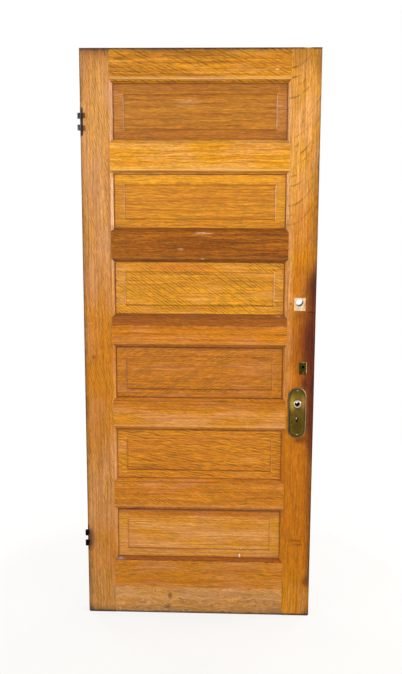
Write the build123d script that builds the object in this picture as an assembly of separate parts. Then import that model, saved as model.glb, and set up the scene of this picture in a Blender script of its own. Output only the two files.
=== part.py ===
from build123d import *
import math
import os

# The leaf, in millimetres: X across, Y through the thickness with the front at -Y, Z up from the bottom edge
leaf_width = 850.0
leaf_height = 2110.0
leaf_thickness = 44.5
edge_ease = 1.2                 # rounding along the long outer edges
worn_corner = 6.0               # the two bottom corners are rubbed round
overrun = 4.0                   # every cut runs this far past the face it opens

# Stiles and rails: each face width runs from the outer edge, or from moulding to moulding
stile_face = 104.0
top_rail_face = 107.0
cross_rail_face = 98.0
cross_rail_count = 5
bottom_rail_face = 215.0
bottom_board_height = 105.0     # lower of the two boards in the bottom rail
board_chamfer = 0.7             # the boards' meeting edges show as a fine line

# The ogee stuck on the inner edges, and the groove behind it
sticking_width = 11.0
sticking_depth = 11.5
sticking_quirk = 1.4
sticking_bulge_share = 0.2      # bulge of each half of the ogee to its chord
groove_width = 14.0
groove_depth = 12.0

# Mortise and tenon joints
tenon_length = 60.0
tenon_shoulder = 3.0
tenon_haunch = 30.0
wood_gap = 0.15                 # glue line round every wood joint

# Raised panels
panel_tongue = 9.0              # how far the panel enters its groove
panel_margin = 35.0             # sloping margin round the field
panel_slope_rise = 1.3
field_bevel = 5.5
field_rise = 3.0

# Butt hinges: the half that is screwed to the leaf
hinge_height = 101.6
hinge_gauge = 3.2
hinge_knuckles = 5
own_knuckles = (1, 3)           # counted from the bottom, from 0
barrel_radius = 7.0
pin_hole_radius = 3.6
barrel_overhang = 1.5           # pin axis beyond the leaf's edge
hinge_backset = 9.0             # wood left behind the hinge plate
upper_hinge_drop = 252.0        # leaf's top to the hinge's middle
lower_hinge_rise = 306.0        # leaf's bottom to the hinge's middle
knuckle_gap = 0.3
hinge_screw_end = 14.0          # screw row from the end of the plate
hinge_screw_inset = 9.0         # screw rows from the plate's two long edges

# Lock furniture, placed from the knob's axis, and the knob from the cross rail beside the lock
knob_backset = 60.0
knob_rise = 45.4                # middle of the lock's cross rail up to the knob's axis
escutcheon_height = 192.0
escutcheon_width = 65.5
escutcheon_drop = 33.75         # plate's middle below the knob's axis
escutcheon_gauge = 1.6
escutcheon_rim = 4.0
escutcheon_rim_rise = 1.1
rim_chamfer = 0.6
collar_radius = 13.75
collar_bore = 9.5
collar_height = 5.0
collar_round = 1.2
escutcheon_screw_inset = 12.0
keyhole_drop = 54.5             # key's axis below the knob's axis
keyhole_radius = 3.4
keyhole_width = 5.0
keyhole_tail = 15.5             # key's axis down to the end of the slot
keyhole_room = 2.0              # wood cut clear round the keyhole
spindle_room = 1.0              # wood cut clear round the collar's bore

# Mortise lock case
case_gauge = 2.0
case_thickness = 16.0
case_above = 26.0               # knob's axis up to the case's top
case_below = 82.0
case_behind = 24.0              # knob's axis back to the case's far end
lock_front_gauge = 3.0
lock_front_height = 140.0
lock_front_width = 24.0
lock_front_screw_inset = 8.0
fit_gap = 0.2                   # lock cases in their pockets
slide_gap = 0.3                 # sliding and turning pieces
bearing_gap = 0.05              # turned bosses in their holes
case_post_radius = 4.0
case_post_inset = 17.0          # cap screw from the front wall
case_post_rise = 17.0           # cap screw from the case's bottom

# Knob hub
hub_radius = 11.0
hub_boss_radius = 8.0
spindle_square = 8.2
lug_reach = 18.0
lug_width = 6.0
lug_thickness = 8.0
lug_lever = 17.0                # hook's pull on the lug, above the knob's axis

# Latch bolt, found drawn in; its coil spring is lost
latch_height = 20.0
latch_thickness = 11.0
latch_proud = 11.0              # nose beyond the lock front when it is out
latch_draw = 11.3               # how far it is drawn in
latch_nose = 2.0                # flat left on the bevelled nose
latch_body = 20.0               # head behind the lock front's face
latch_neck = 6.0
latch_hook = 5.4
latch_hook_gap = 0.6
latch_hook_bite = 5.0           # how far the hook comes down beside the lug
tail_height = 4.0
tail_thickness = 8.0
tail_gap = 1.0                  # tail over the lug
spring_seat_behind = 23.0       # lost coil's seat behind the latch head
spring_seat_gauge = 3.0
spring_seat_height = 9.0

# Dead bolt
bolt_height = 25.0
bolt_top_drop = 25.0            # knob's axis down to the bolt's upper edge
bolt_thickness = 10.0
bolt_throw = 12.7
bolt_tail = 72.0                # overall length, flush when drawn back
bolt_notch_width = 14.0
bolt_notch_depth = 11.5
bolt_stud_radius = 2.5
bolt_stud_inset = 38.0          # guide stud from the leaf's edge
back_spring_span = 35.0
back_spring_gauge = 0.8
back_spring_rise = 3.6
back_spring_width = 6.0
back_spring_end = 15.0          # spring's near end from the leaf's edge
spring_stud_width = 5.0
spring_stud_height = 5.0

# Thumb bolt above the lock: rack bolt, pinion, case and plate
thumb_backset = 42.0
thumb_rise = 139.5              # knob's axis up to the thumb turn's axis
pinion_teeth = 10
gear_module = 1.2
rack_addendum_share = 0.58
pinion_addendum_share = 1.0
dedendum_share = 1.25
flank_tip_share = 0.27          # half thickness of a tooth's tip, of the module
flank_pitch_share = 0.70        # half thickness at the pitch line
flank_root_share = 0.62         # half thickness at the root
rack_flank_share = 0.36         # rack flank's run to its height
thumb_throw = 12.7
thumb_bar_height = 12.0         # bar below the rack's roots
thumb_bar_thickness = 9.0
thumb_bar_length = 66.0
thumb_case_gauge = 1.8
thumb_case_behind = 16.0        # pinion's axis back to the case's far end, inside
thumb_socket = 5.0
pinion_boss_radius = 4.2
pinion_width = 8.0
thumb_front_gauge = 2.5
thumb_front_height = 72.0
thumb_front_width = 20.0
thumb_front_screw_inset = 7.0
thumb_plate_width = 28.0
thumb_plate_height = 47.0
thumb_plate_drop = 4.0          # plate's middle below the thumb's axis
thumb_plate_gauge = 1.8
thumb_plate_chamfer = 0.7
thumb_plate_hole = 4.0
thumb_plate_screw_inset = 5.0
thumb_wood_hole = 5.5

# Hole of a latch cylinder that was taken off, in a patch of bare wood
cylinder_backset = 60.0
cylinder_rise = 109.0           # middle of the cross rail above the lock's up to the hole's axis
cylinder_radius = 13.0
patch_width = 41.5
patch_height = 48.0
patch_side = 2.0                # patch's middle towards the lock edge
patch_drop = 6.0                # patch's middle below the hole
patch_depth = 0.8

# Screws: countersunk in the hinges, lock fronts and lock cap, round-headed in the plates
hinge_screw_head = 5.2
hinge_screw_shank = 2.6
hinge_screw_length = 32.0
front_screw_head = 4.0
front_screw_shank = 1.9
front_screw_length = 20.0
plate_screw_head = 3.0
plate_screw_shank = 1.4
plate_screw_length = 14.0
small_screw_head = 2.2
small_screw_shank = 1.0
small_screw_length = 10.0
cap_screw_head = 3.2
cap_screw_shank = 1.9
cap_screw_length = 9.0
head_depth_share = 0.5          # countersunk head's depth to its radius
dome_share = 0.5                # round head's height to its radius
slot_width_share = 0.24
slot_depth_share = 0.6
tip_share = 1.6                 # screw point's length to its shank radius
screw_gap = 0.05

# Places worked out from the sizes above
front_face = -leaf_thickness / 2
back_face = leaf_thickness / 2
lock_edge = leaf_width / 2
hinge_edge = -leaf_width / 2
stile_sight = stile_face + sticking_width
sight_width = leaf_width - 2 * stile_sight
rails_total = top_rail_face + bottom_rail_face + cross_rail_count * cross_rail_face
opening_height = (leaf_height - rails_total) / (cross_rail_count + 1)
sight_height = opening_height - 2 * sticking_width
rail_pitch = opening_height + cross_rail_face
panel_settle = groove_depth - panel_tongue - wood_gap   # panels float, and have sunk onto the groove's floor
lock_rail = cross_rail_count - 1                # counted from the top, from 1
first_rail_middle = leaf_height - top_rail_face - opening_height - cross_rail_face / 2
lock_rail_middle = first_rail_middle - (lock_rail - 1) * rail_pitch
knob_height = lock_rail_middle + knob_rise
thumb_height = knob_height + thumb_rise
cylinder_height = lock_rail_middle + rail_pitch + cylinder_rise
knob_x = lock_edge - knob_backset
thumb_x = lock_edge - thumb_backset
cylinder_x = lock_edge - cylinder_backset
pin_x = hinge_edge - barrel_overhang
pin_y = front_face - barrel_radius
case_front = lock_edge - lock_front_gauge
case_half = case_thickness / 2
cavity_half = case_half - case_gauge
latch_rest = knob_x - lug_width / 2 - latch_hook_gap
hub_turn = math.degrees(latch_draw / lug_lever)
hinge_screw = (hinge_screw_head, hinge_screw_shank, hinge_screw_length)
front_screw = (front_screw_head, front_screw_shank, front_screw_length)
plate_screw = (plate_screw_head, plate_screw_shank, plate_screw_length)
small_screw = (small_screw_head, small_screw_shank, small_screw_length)
cap_screw = (cap_screw_head, cap_screw_shank, cap_screw_length)


def block(x_span, y_span, z_span):
    size = [span[1] - span[0] for span in (x_span, y_span, z_span)]
    middle = [(span[0] + span[1]) / 2 for span in (x_span, y_span, z_span)]
    return Pos(*middle) * Box(*size)


def about(middle, size):
    return (middle - size / 2, middle + size / 2)


def rod_y(radius, x, z, y_span):
    turned = Rot(X=90) * Cylinder(radius, y_span[1] - y_span[0])
    return Pos(x, (y_span[0] + y_span[1]) / 2, z) * turned


def front_plane(x, z, y=front_face):
    # Sketch plane seen from the front: first axis to the right, second up, normal towards the viewer
    return Plane(origin=(x, y, z), x_dir=(1, 0, 0), z_dir=(0, -1, 0))


def save(name, *solids):
    made = []
    for shape in solids:
        made.extend(shape.solids())
    whole = made[0] if len(made) == 1 else Compound(children=made)
    export_step(whole, os.path.join("parts", name + ".step"))


# Screws stand on their own axis: the head's top at zero, the shank down
def screw(size, domed=False, grow=0.0):
    head_radius, shank_radius, length = size
    if domed:
        rise = dome_share * head_radius
        ball = (head_radius ** 2 + rise ** 2) / (2 * rise)
        cap = Pos(0, 0, rise - ball) * Sphere(ball)
        keep = Pos(0, 0, rise / 2) * Cylinder(head_radius, rise)
        head = cap & keep
        head_top = rise
        neck = 0
    else:
        neck = head_depth_share * head_radius
        cone = Cone(shank_radius + grow, head_radius + grow, neck)
        head = Pos(0, 0, -neck / 2) * cone
        head_top = 0
    point = tip_share * shank_radius
    shank_length = length - neck - point
    shank = Pos(0, 0, -neck - shank_length / 2) * Cylinder(shank_radius + grow, shank_length)
    tip = Pos(0, 0, -length + point / 2) * Cone(grow, shank_radius + grow, point)
    if grow:
        return head + shank + tip
    slot_depth = slot_depth_share * head_depth_share * head_radius
    slot_z = (head_top - slot_depth, head_top + overrun)
    slot = block(about(0, 2 * head_radius), about(0, slot_width_share * head_radius), slot_z)
    return head + shank + tip - slot


def placed(shape, point, outward):
    return Plane(origin=point, z_dir=outward) * shape


def face_screws(size, x, y, heights, grow=0.0):
    # Round-headed screws driven in from the front
    return [placed(screw(size, domed=True, grow=grow), (x, y, z), (0, -1, 0)) for z in heights]


def edge_screws(size, points, outward, grow=0.0):
    # Countersunk screws driven into an edge of the leaf
    return [placed(screw(size, grow=grow), point, outward) for point in points]


# Sections of the moulded pieces: the first axis runs across the piece, the second through its thickness
def moulded_side(arris, way, grooved):
    inner = arris + way * sticking_width
    floor = inner - way * groove_depth
    quirk = front_face + sticking_quirk
    seat = front_face + sticking_depth
    middle = ((arris + inner) / 2, (quirk + seat) / 2)
    chord = math.hypot(sticking_width / 2, (seat - quirk) / 2)
    bulge = way * sticking_bulge_share * chord
    half = [
        Line((arris, front_face), (arris, quirk)),
        SagittaArc((arris, quirk), middle, -bulge),
        SagittaArc(middle, (inner, seat), bulge),
    ]
    closing = Line((inner, seat), (inner, -seat))
    if grooved:
        half.append(Line((inner, seat), (inner, -groove_width / 2)))
        half.append(Line((inner, -groove_width / 2), (floor, -groove_width / 2)))
        closing = Line((floor, -groove_width / 2), (floor, groove_width / 2))
    other = [mirror(edge, about=Plane.XZ) for edge in half]
    return half + other + [closing]


def edge_section(face_width, grooved=True):
    # Moulded on one side, with plain faces out to the outer edge at zero
    plain = [
        Line((0, front_face), (face_width, front_face)),
        Line((0, back_face), (face_width, back_face)),
        Line((0, front_face), (0, back_face)),
    ]
    return make_face(moulded_side(face_width, 1, grooved) + plain)


def cross_section():
    half = cross_rail_face / 2
    plain = [
        Line((-half, front_face), (half, front_face)),
        Line((-half, back_face), (half, back_face)),
    ]
    return make_face(moulded_side(half, 1, True) + moulded_side(-half, -1, True) + plain)


def outer_corners(section):
    return section.vertices().sort_by(Axis.X)[:2]


# Tenons and the mortises that hold them, as one bar through the rail's core
def tenon_bar(low, high, grow=0.0):
    reach = sight_width / 2 + tenon_length + grow
    thickness = groove_width - 2 * wood_gap + 2 * grow
    return block(about(0, 2 * reach), about(0, thickness), (low - grow, high + grow))


def haunch_bar(low, high):
    # Fills the stile's groove beyond the tenon, out to the leaf's top or bottom edge
    reach = sight_width / 2 + groove_depth - wood_gap
    thickness = groove_width - 2 * wood_gap
    return block(about(0, 2 * reach), about(0, thickness), (low, high))


def cross_rail_middle(number):
    return first_rail_middle - number * rail_pitch


def tenon_spans():
    core = sticking_width - groove_depth
    spans = {}
    top_core = leaf_height - top_rail_face - core
    spans["top_rail"] = (top_core + tenon_shoulder, leaf_height - tenon_haunch)
    for number in range(cross_rail_count):
        middle = cross_rail_middle(number)
        reach = cross_rail_face / 2 + core - tenon_shoulder
        spans[f"cross_rail_{number + 1}"] = (middle - reach, middle + reach)
    high = bottom_rail_face + core - tenon_shoulder
    spans["bottom_rail_upper_board"] = (bottom_board_height + tenon_shoulder, high)
    spans["bottom_rail_lower_board"] = (tenon_haunch, bottom_board_height - tenon_shoulder)
    return spans


def coped(blank):
    # The rail's ends are cut to the stile's own moulding, a glue line away from it
    prism = extrude(edge_section(stile_face, grooved=False), amount=leaf_height, dir=(0, 0, 1))
    left = Pos(hinge_edge + wood_gap, 0, 0) * prism
    cut = blank - left - mirror(left, about=Plane.YZ)
    # Feather-edged slivers come loose where the mouldings mitre, and only the rail itself is kept
    return max(cut.solids(), key=lambda solid: solid.volume)


def rail_blank(section, plane):
    return extrude(plane * section, amount=leaf_width / 2 - stile_face, both=True)


def rails():
    made = {}
    across = {"x_dir": (0, 0, 1), "z_dir": (-1, 0, 0)}
    section = edge_section(top_rail_face)
    section = fillet(outer_corners(section), edge_ease)
    top_plane = Plane(origin=(0, 0, leaf_height), x_dir=(0, 0, -1), z_dir=(1, 0, 0))
    made["top_rail"] = rail_blank(section, top_plane)
    for number in range(cross_rail_count):
        plane = Plane(origin=(0, 0, cross_rail_middle(number)), **across)
        made[f"cross_rail_{number + 1}"] = rail_blank(cross_section(), plane)
    section = edge_section(bottom_rail_face - bottom_board_height)
    section = chamfer(outer_corners(section), board_chamfer)
    plane = Plane(origin=(0, 0, bottom_board_height), **across)
    made["bottom_rail_upper_board"] = rail_blank(section, plane)
    lower_height = bottom_board_height - wood_gap
    section = Pos(lower_height / 2, 0) * Rectangle(lower_height, leaf_thickness)
    section = chamfer(section.vertices().sort_by(Axis.X)[2:], board_chamfer)
    section = fillet(outer_corners(section), edge_ease)
    made["bottom_rail_lower_board"] = rail_blank(section, Plane(origin=(0, 0, 0), **across))
    for name, span in tenon_spans().items():
        made[name] = coped(made[name]) + tenon_bar(*span)
    made["top_rail"] = made["top_rail"] + haunch_bar(leaf_height - 2 * tenon_haunch, leaf_height)
    lower_board = made["bottom_rail_lower_board"]
    made["bottom_rail_lower_board"] = lower_board + haunch_bar(0, 2 * tenon_haunch)
    beside_lock = f"cross_rail_{lock_rail}"
    made[beside_lock] = made[beside_lock] - lock_pocket()
    return made


def stile_blank():
    section = edge_section(stile_face)
    section = fillet(outer_corners(section), edge_ease)
    blank = Pos(hinge_edge, 0, 0) * extrude(section, amount=leaf_height, dir=(0, 0, 1))
    corner_x = hinge_edge + worn_corner
    square = block((hinge_edge - overrun, corner_x), about(0, 2 * leaf_thickness), (-overrun, worn_corner))
    blank = blank - (square - rod_y(worn_corner, corner_x, worn_corner, about(0, 2 * leaf_thickness)))
    for span in tenon_spans().values():
        blank = blank - tenon_bar(*span, grow=wood_gap)
    return blank


# Raised panels: a tongue all round, a sloping margin, and a field on each face
def panel(number):
    middle = leaf_height - top_rail_face - opening_height / 2 - number * rail_pitch - panel_settle
    thickness = groove_width - 2 * wood_gap
    width = sight_width + 2 * panel_tongue
    height = sight_height + 2 * panel_tongue
    slab = Pos(0, 0, middle) * Box(width, thickness, height)
    field_top = panel_slope_rise + field_rise
    steps = ((panel_settle, 0), (panel_margin, panel_slope_rise), (panel_margin + field_bevel, field_top))
    rings = []
    for inset, rise in steps:
        outline = Rectangle(sight_width - 2 * inset, sight_height - 2 * inset)
        rings.append(front_plane(0, middle, -thickness / 2 - rise) * outline)
    front = loft([rings[0], rings[1]], ruled=True) + loft([rings[1], rings[2]], ruled=True)
    return slab + front + mirror(front, about=Plane.XZ)


# Hinge plates let into the edge, with the two knuckles that belong to the leaf
def hinge_middles():
    return {"upper": leaf_height - upper_hinge_drop, "lower": lower_hinge_rise}


def hinge_screw_places(middle):
    reach = hinge_height / 2 - hinge_screw_end
    rows = (front_face + hinge_screw_inset, back_face - hinge_backset - hinge_screw_inset)
    step = 2 * reach / 3
    return [(hinge_edge, rows[index % 2], middle - reach + index * step) for index in range(4)]


def hinge_plate(middle):
    x_span = (hinge_edge, hinge_edge + hinge_gauge)
    wall_middle = (pin_hole_radius + barrel_radius) / 2
    plate = block(x_span, (pin_y + wall_middle, back_face - hinge_backset), about(middle, hinge_height))
    knuckle = hinge_height / hinge_knuckles
    rings = []
    for index in range(hinge_knuckles):
        z = middle + (2 * index + 1 - hinge_knuckles) * knuckle / 2
        if index in own_knuckles:
            rings.append(Pos(pin_x, pin_y, z) * Cylinder(barrel_radius, knuckle - knuckle_gap))
            plate = plate - Pos(pin_x, pin_y, z - knuckle / 2) * Cylinder(barrel_radius, knuckle_gap)
            plate = plate - Pos(pin_x, pin_y, z + knuckle / 2) * Cylinder(barrel_radius, knuckle_gap)
        else:
            plate = plate - Pos(pin_x, pin_y, z) * Cylinder(barrel_radius + knuckle_gap, knuckle)
    for ring in rings:
        plate = plate + ring
    plate = plate - Pos(pin_x, pin_y, middle) * Cylinder(pin_hole_radius, hinge_height)
    for hole in edge_screws(hinge_screw, hinge_screw_places(middle), (-1, 0, 0), screw_gap):
        plate = plate - hole
    return plate


def hinge_stile():
    made = stile_blank()
    for middle in hinge_middles().values():
        gain_back = back_face - hinge_backset + wood_gap
        gain_height = hinge_height + 2 * wood_gap
        gain = block((hinge_edge - overrun, hinge_edge + hinge_gauge), (front_face - overrun, gain_back),
                     about(middle, gain_height))
        made = made - gain
        for hole in edge_screws(hinge_screw, hinge_screw_places(middle), (-1, 0, 0), screw_gap):
            made = made - hole
    return made


# Keyhole outline on the front plane, about the knob's axis
def keyhole(grow, y_span):
    shaft = rod_y(keyhole_radius + grow, knob_x, knob_height - keyhole_drop, y_span)
    top = knob_height - keyhole_drop
    slot = block(about(knob_x, keyhole_width + 2 * grow), y_span, (top - keyhole_tail - grow, top))
    return shaft + slot


def escutcheon_screw_heights():
    middle = knob_height - escutcheon_drop
    reach = escutcheon_height / 2 - escutcheon_screw_inset
    return (middle - reach, middle + reach)


def front_escutcheon():
    plane = front_plane(knob_x, knob_height - escutcheon_drop)
    outline = Rot(Z=90) * SlotOverall(escutcheon_height, escutcheon_width)
    field_height = escutcheon_height - 2 * escutcheon_rim
    field_width = escutcheon_width - 2 * escutcheon_rim
    inside = Rot(Z=90) * SlotOverall(field_height, field_width)
    rim_top = escutcheon_gauge + escutcheon_rim_rise
    plate = extrude(outline, amount=rim_top, dir=(0, 0, 1))
    plate = chamfer(plate.faces().sort_by(Axis.Z)[-1].edges(), rim_chamfer)
    plate = plate - Pos(0, 0, escutcheon_gauge) * extrude(inside, amount=rim_top, dir=(0, 0, 1))
    collar = Cylinder(collar_radius, collar_height, align=(Align.CENTER, Align.CENTER, Align.MIN))
    collar = fillet(collar.faces().sort_by(Axis.Z)[-1].edges(), collar_round)
    plate = plate + Pos(0, escutcheon_drop, 0) * collar
    through = (front_face - collar_height - overrun, front_face + overrun)
    made = plane * plate
    made = made - rod_y(collar_bore, knob_x, knob_height, through) - keyhole(0, through)
    for z in escutcheon_screw_heights():
        made = made - rod_y(plate_screw_shank + screw_gap, knob_x, z, through)
    return made


def escutcheon_screws():
    front = face_screws(plate_screw, knob_x, front_face - escutcheon_gauge, escutcheon_screw_heights())
    return front + [mirror(one, about=Plane.XZ) for one in front]


# Mortise lock: case, cap, front, and what moves inside
def case_x(reach=0.0):
    return (knob_x - case_behind - reach, case_front)


def case_z(reach=0.0):
    return (knob_height - case_below - reach, knob_height + case_above + reach)


def lock_front_middle():
    return knob_height + (case_above - case_below) / 2


def latch_head_x():
    return (lock_edge - latch_body, lock_edge + latch_proud)


def bolt_z():
    return (knob_height - bolt_top_drop - bolt_height, knob_height - bolt_top_drop)


def bolt_windows(grow, x_span):
    latch = block(x_span, about(0, latch_thickness + 2 * grow), about(knob_height, latch_height + 2 * grow))
    low, high = bolt_z()
    dead = block(x_span, about(0, bolt_thickness + 2 * grow), (low - grow, high + grow))
    return latch + dead


def lock_pocket():
    thickness = case_thickness + 2 * fit_gap
    x_low = case_x(fit_gap)[0]
    return block((x_low, lock_edge + overrun), about(0, thickness), case_z(fit_gap))


def lock_front_recess():
    height = lock_front_height + 2 * fit_gap
    width = lock_front_width + 2 * fit_gap
    return block((case_front, lock_edge + overrun), about(0, width), about(lock_front_middle(), height))


def lock_front_screw_places():
    reach = lock_front_height / 2 - lock_front_screw_inset
    return [(lock_edge, 0, lock_front_middle() + side * reach) for side in (-1, 1)]


def cap_screw_place():
    return (case_front - case_post_inset, -case_half, knob_height - case_below + case_post_rise)


def spring_seat_x():
    end = lock_edge - latch_body - spring_seat_behind
    return (end - spring_seat_gauge, end)


def back_spring_x():
    near = lock_edge - back_spring_end
    return (near - back_spring_span, near)


def lock_case():
    made = block(case_x(), (-cavity_half, case_half), case_z())
    x_span = (case_x()[0] + case_gauge, case_front - case_gauge)
    z_span = (case_z()[0] + case_gauge, case_z()[1] - case_gauge)
    made = made - block(x_span, (-case_half - overrun, cavity_half), z_span)
    inner_y = (-cavity_half + slide_gap, cavity_half + case_gauge / 2)
    made = made + block(spring_seat_x(), inner_y, about(knob_height, spring_seat_height))
    stud_z = sum(bolt_z()) / 2
    made = made + rod_y(bolt_stud_radius, lock_edge - bolt_stud_inset, stud_z, inner_y)
    crown = bolt_z()[1] + slide_gap + back_spring_rise + back_spring_gauge
    spring_middle = sum(back_spring_x()) / 2
    stud_span = (crown, crown + spring_stud_height)
    made = made + block(about(spring_middle, spring_stud_width), inner_y, stud_span)
    post_x, _, post_z = cap_screw_place()
    post_y = (-cavity_half, cavity_half + case_gauge / 2)
    made = made + rod_y(case_post_radius, post_x, post_z, post_y)
    made = made - placed(screw(cap_screw, grow=screw_gap), cap_screw_place(), (0, -1, 0))
    through = about(0, 2 * case_thickness)
    made = made - rod_y(hub_boss_radius + bearing_gap, knob_x, knob_height, through) - keyhole(0, through)
    return made - bolt_windows(slide_gap, (case_front - case_gauge - overrun, case_front + overrun))


def lock_cap():
    made = block(case_x(), (-case_half, -cavity_half), case_z())
    through = about(0, 2 * case_thickness)
    made = made - rod_y(hub_boss_radius + bearing_gap, knob_x, knob_height, through) - keyhole(0, through)
    return made - placed(screw(cap_screw, grow=screw_gap), cap_screw_place(), (0, -1, 0))


def lock_front():
    z_span = about(lock_front_middle(), lock_front_height)
    made = block((case_front, lock_edge), about(0, lock_front_width), z_span)
    made = made - bolt_windows(slide_gap, (case_front - overrun, lock_edge + overrun))
    for hole in edge_screws(front_screw, lock_front_screw_places(), (1, 0, 0), screw_gap):
        made = made - hole
    return made


def knob_hub():
    boss = rod_y(hub_boss_radius, knob_x, knob_height, about(0, case_thickness))
    drum = rod_y(hub_radius, knob_x, knob_height, about(0, 2 * (cavity_half - slide_gap)))
    lug_z = (knob_height, knob_height + lug_reach)
    lug = block(about(knob_x, lug_width), about(0, lug_thickness), lug_z)
    through = about(0, 2 * case_thickness)
    socket = block(about(knob_x, spindle_square), through, about(knob_height, spindle_square))
    made = boss + drum + lug - socket
    return made.rotate(Axis((knob_x, 0, knob_height), (0, -1, 0)), hub_turn)


def latch_bolt():
    # The nose is bevelled on the back, the side that meets the strike as the leaf closes
    back_x, nose_x = latch_head_x()
    half = latch_thickness / 2
    nose = [(nose_x, -half), (nose_x, -half + latch_nose), (lock_edge + slide_gap, half)]
    profile = make_face(Polyline((back_x, -half), *nose, (back_x, half), close=True))
    head = Pos(0, 0, knob_height - latch_height / 2) * extrude(profile, amount=latch_height, dir=(0, 0, 1))
    tail_low = knob_height + lug_reach + tail_gap
    tail_y = about(0, tail_thickness)
    hook_x = (latch_rest - latch_hook, latch_rest)
    neck_z = (knob_height, tail_low + tail_height)
    neck = block((back_x, back_x + latch_neck), tail_y, neck_z)
    tail = block((hook_x[0], back_x + latch_neck), tail_y, (tail_low, tail_low + tail_height))
    hook = block(hook_x, tail_y, (knob_height + lug_reach - latch_hook_bite, tail_low + tail_height))
    return Pos(-latch_draw, 0, 0) * (head + neck + tail + hook)


def dead_bolt():
    low, high = bolt_z()
    made = block((lock_edge - bolt_tail, lock_edge), about(0, bolt_thickness), (low, high))
    notch_z = (low - overrun, low + bolt_notch_depth)
    notch = block(about(knob_x, bolt_notch_width), about(0, 2 * bolt_thickness), notch_z)
    stud_x = lock_edge - bolt_stud_inset
    room = bolt_stud_radius + slide_gap
    slot_z = about((low + high) / 2, 2 * room)
    slot = block((stud_x - bolt_throw - room, stud_x + room), about(0, 2 * bolt_thickness), slot_z)
    return made - notch - slot


def dead_bolt_spring():
    near, far = back_spring_x()
    foot = bolt_z()[1] + slide_gap
    under = SagittaArc((near, foot), (far, foot), back_spring_rise)
    over = SagittaArc((near, foot + back_spring_gauge), (far, foot + back_spring_gauge), back_spring_rise)
    ends = [Line(under @ 0, over @ 0), Line(under @ 1, over @ 1)]
    strip = make_face([under, over] + ends)
    plane = Plane(origin=(0, -back_spring_width / 2, 0), x_dir=(1, 0, 0), z_dir=(0, -1, 0))
    return extrude(plane * strip, amount=back_spring_width, dir=(0, 1, 0))


# Thumb bolt: a rack on the bolt's upper edge, and the pinion that the thumb turn drove
pitch_radius = pinion_teeth * gear_module / 2
tip_radius = pitch_radius + pinion_addendum_share * gear_module
root_radius = pitch_radius - dedendum_share * gear_module
rack_pitch = math.pi * gear_module
rack_line = thumb_height - pitch_radius
rack_root = rack_line - dedendum_share * gear_module
thumb_bar_low = rack_root - thumb_bar_height
thumb_half = thumb_bar_thickness / 2 + slide_gap
thumb_front_x = lock_edge - thumb_front_gauge


def thumb_case_x(reach=0.0):
    return (thumb_x - thumb_case_behind - thumb_bar_length + thumb_backset - reach, thumb_front_x)


def thumb_case_z(reach=0.0):
    high = thumb_height + tip_radius + slide_gap + thumb_case_gauge
    return (thumb_bar_low - slide_gap - thumb_case_gauge - reach, high + reach)


def thumb_window(grow, x_span):
    z_span = (thumb_bar_low - grow, rack_line + gear_module + grow)
    return block(x_span, about(0, thumb_bar_thickness + 2 * grow), z_span)


def thumb_case_body():
    outer = thumb_half + thumb_case_gauge
    made = block(thumb_case_x(), (-thumb_half, outer), thumb_case_z())
    x_span = (thumb_case_x()[0] + thumb_case_gauge, thumb_front_x - thumb_case_gauge)
    z_span = (thumb_case_z()[0] + thumb_case_gauge, thumb_case_z()[1] - thumb_case_gauge)
    made = made - block(x_span, (-thumb_half - overrun, thumb_half), z_span)
    made = made - rod_y(pinion_boss_radius + bearing_gap, thumb_x, thumb_height, (0, outer + overrun))
    wall = (thumb_front_x - thumb_case_gauge - overrun, thumb_front_x + overrun)
    return made - thumb_window(slide_gap, wall)


def thumb_case_cap():
    outer = thumb_half + thumb_case_gauge
    made = block(thumb_case_x(), (-outer, -thumb_half), thumb_case_z())
    return made - rod_y(pinion_boss_radius + bearing_gap, thumb_x, thumb_height, about(0, 4 * outer))


def thumb_front_middle():
    return sum(thumb_case_z()) / 2


def thumb_pocket():
    thickness = 2 * (thumb_half + thumb_case_gauge + fit_gap)
    x_span = (thumb_case_x(fit_gap)[0], lock_edge + overrun)
    return block(x_span, about(0, thickness), thumb_case_z(fit_gap))


def thumb_front_recess():
    height = thumb_front_height + 2 * fit_gap
    width = thumb_front_width + 2 * fit_gap
    return block((thumb_front_x, lock_edge + overrun), about(0, width), about(thumb_front_middle(), height))


def thumb_front_screw_places():
    reach = thumb_front_height / 2 - thumb_front_screw_inset
    return [(lock_edge, 0, thumb_front_middle() + side * reach) for side in (-1, 1)]


def thumb_front():
    z_span = about(thumb_front_middle(), thumb_front_height)
    made = block((thumb_front_x, lock_edge), about(0, thumb_front_width), z_span)
    made = made - thumb_window(slide_gap, (thumb_front_x - overrun, lock_edge + overrun))
    for hole in edge_screws(front_screw, thumb_front_screw_places(), (1, 0, 0), screw_gap):
        made = made - hole
    return made


def thumb_bolt():
    tail = lock_edge - thumb_bar_length
    y_span = about(0, thumb_bar_thickness)
    rack_top = rack_line + rack_addendum_share * gear_module
    made = block((tail, lock_edge), y_span, (thumb_bar_low, rack_top))
    gaps_behind = int((thumb_throw + tip_radius) / rack_pitch)
    gaps_ahead = int(tip_radius / rack_pitch)
    root_half = rack_pitch / 2 - flank_pitch_share * gear_module - rack_flank_share * (rack_line - rack_root)
    mouth = rack_top + overrun
    mouth_half = root_half + rack_flank_share * (mouth - rack_root)
    outline = [(-root_half, rack_root), (root_half, rack_root), (mouth_half, mouth), (-mouth_half, mouth)]
    for index in range(-gaps_behind, gaps_ahead + 1):
        gap_x = thumb_x + index * rack_pitch
        corners = [(gap_x + x, z) for x, z in outline]
        gap = make_face(front_plane(0, 0, -thumb_bar_thickness) * Polyline(*corners, close=True))
        made = made - extrude(gap, amount=2 * thumb_bar_thickness, dir=(0, 1, 0))
    return made


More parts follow.
